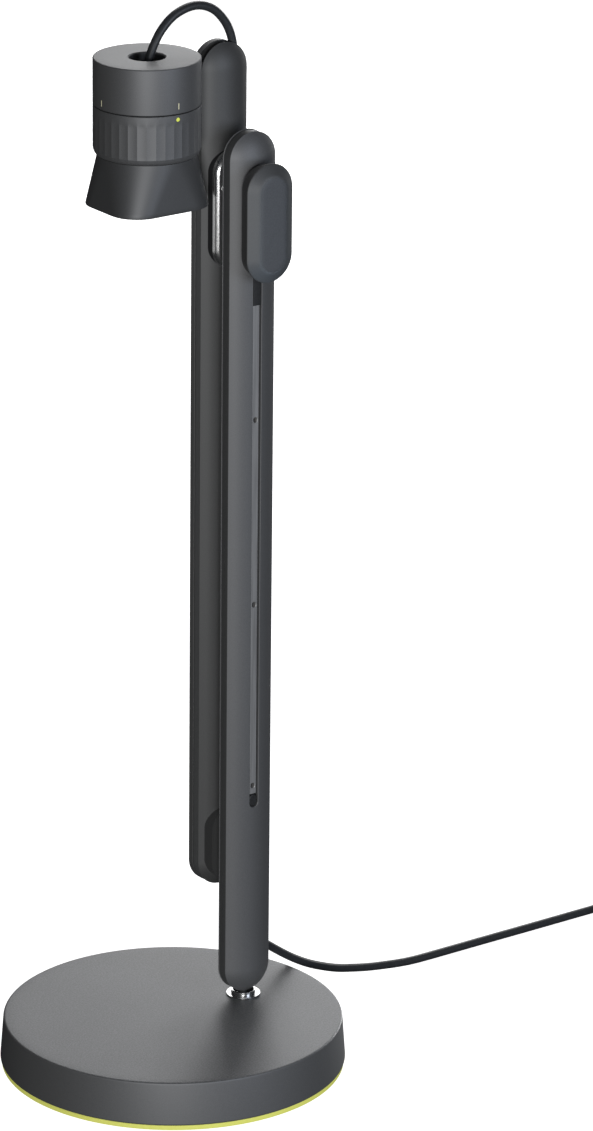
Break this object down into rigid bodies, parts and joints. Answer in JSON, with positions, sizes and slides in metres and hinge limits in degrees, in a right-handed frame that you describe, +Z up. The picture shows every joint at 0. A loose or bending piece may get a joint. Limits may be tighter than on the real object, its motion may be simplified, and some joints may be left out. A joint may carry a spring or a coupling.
{
  "type": "overhead webcam on a desk stand",
  "caption": "Downward-looking camera head on an arm that turns and slides on a post with a weighted round base, with a cable and plug.",
  "frame": {"origin": "centre of the foot pad's underside, on the desk", "axes": "+Z up along the post; -Y is the side of the grip; +X is the side of the base that carries the post and where the cable leaves"},
  "size_m": [0.4213, 0.165, 0.511],
  "materials": {
    "graphite": "bead-blasted, graphite grey, very fine sparkle",
    "hood_plastic": "smooth satin dark grey",
    "black_plastic": "satin black",
    "black_rubber": "soft matt charcoal",
    "lime_silicone": "matt pale lime",
    "yellow_mark": "printed yellow-green dot",
    "steel": "machined, plain",
    "chrome": "bright polished",
    "bearing_plastic": "off-white bearing plastic",
    "lens_glass": "clear, dark behind",
    "circuit_board": "green board"
  },
  "bodies": {
    "base": {"foot_pad": "lime_silicone", "base_cover": "graphite", "base_plate": "steel", "base_weight": "steel", "swivel_bush": "bearing_plastic", "base_screw_1": "steel", "base_screw_2": "steel", "base_screw_3": "steel", "base_screw_4": "steel", "usb_cable": "black_rubber", "usb_coil": "black_rubber", "usb_tail": "black_rubber", "usb_plug": "black_plastic", "usb_plug_shell": "steel", "coil_tie": "black_plastic"},
    "post": {"post_spindle": "steel", "pivot_collar": "chrome", "post_spine": "black_plastic", "post_front_cover": "graphite", "post_rear_cover": "graphite", "post_foot_block": "steel", "lower_stop": "black_rubber", "upper_stop": "black_rubber", "guide_rail": "steel", "cable_gland": "black_rubber"},
    "carriage": {"carriage_block": "steel", "glide_upper": "bearing_plastic", "glide_lower": "bearing_plastic", "carriage_neck": "black_plastic", "grip_handle": "graphite", "grip_pad": "black_rubber", "coupler_spindle": "chrome"},
    "coupler": {"coupler_plate": "chrome", "arm_saddle": "black_plastic", "arm_shoe": "bearing_plastic"},
    "arm": {"arm_front_cover": "graphite", "arm_rear_cover": "graphite", "arm_spine": "black_plastic", "arm_end_inlay": "black_rubber", "tip_pin": "steel"},
    "camera": {"camera_bracket": "steel", "camera_housing": "graphite", "cable_grommet": "black_rubber", "camera_cable": "black_rubber"},
    "lens": {"lens_ring": "graphite", "index_dot": "yellow_mark", "lens_hood": "hood_plastic", "lens_barrel": "black_plastic", "lens_glass": "lens_glass", "sensor_board": "circuit_board", "image_sensor": "black_plastic"}
  },
  "joints": [
    {"name": "base_swivel", "type": "hinge", "parent": "base", "child": "post", "pos_m": [0.04125, 0, 0.0236], "axis": [0, 0, 1], "range_deg": [-90, 90], "deforming": ["usb_cable"]},
    {"name": "carriage_slide", "type": "slide", "parent": "post", "child": "carriage", "axis": [0, 0, 1], "range_m": [-0.046, 0]},
    {"name": "arm_turn", "type": "hinge", "parent": "carriage", "child": "coupler", "pos_m": [0.04125, 0.0117, 0.4235], "axis": [0, -1, 0], "range_deg": [0, 90]},
    {"name": "arm_slide", "type": "slide", "parent": "coupler", "child": "arm", "axis": [0, 0, 1], "range_m": [0, 0.26]},
    {"name": "camera_tilt", "type": "hinge", "parent": "arm", "child": "camera", "pos_m": [0.04125, 0.0224, 0.4779], "axis": [0, 1, 0], "range_deg": [0, 90], "deforming": ["camera_cable"]},
    {"name": "ring_turn", "type": "hinge", "parent": "camera", "child": "lens", "pos_m": [0.00068, 0.0237, 0.4674], "axis": [0, 0, 1], "range_deg": [-90, 0]}
  ],
  "couplings": [
    {"joint": "camera_tilt", "follows": "arm_turn", "ratio": 1}
  ]
}
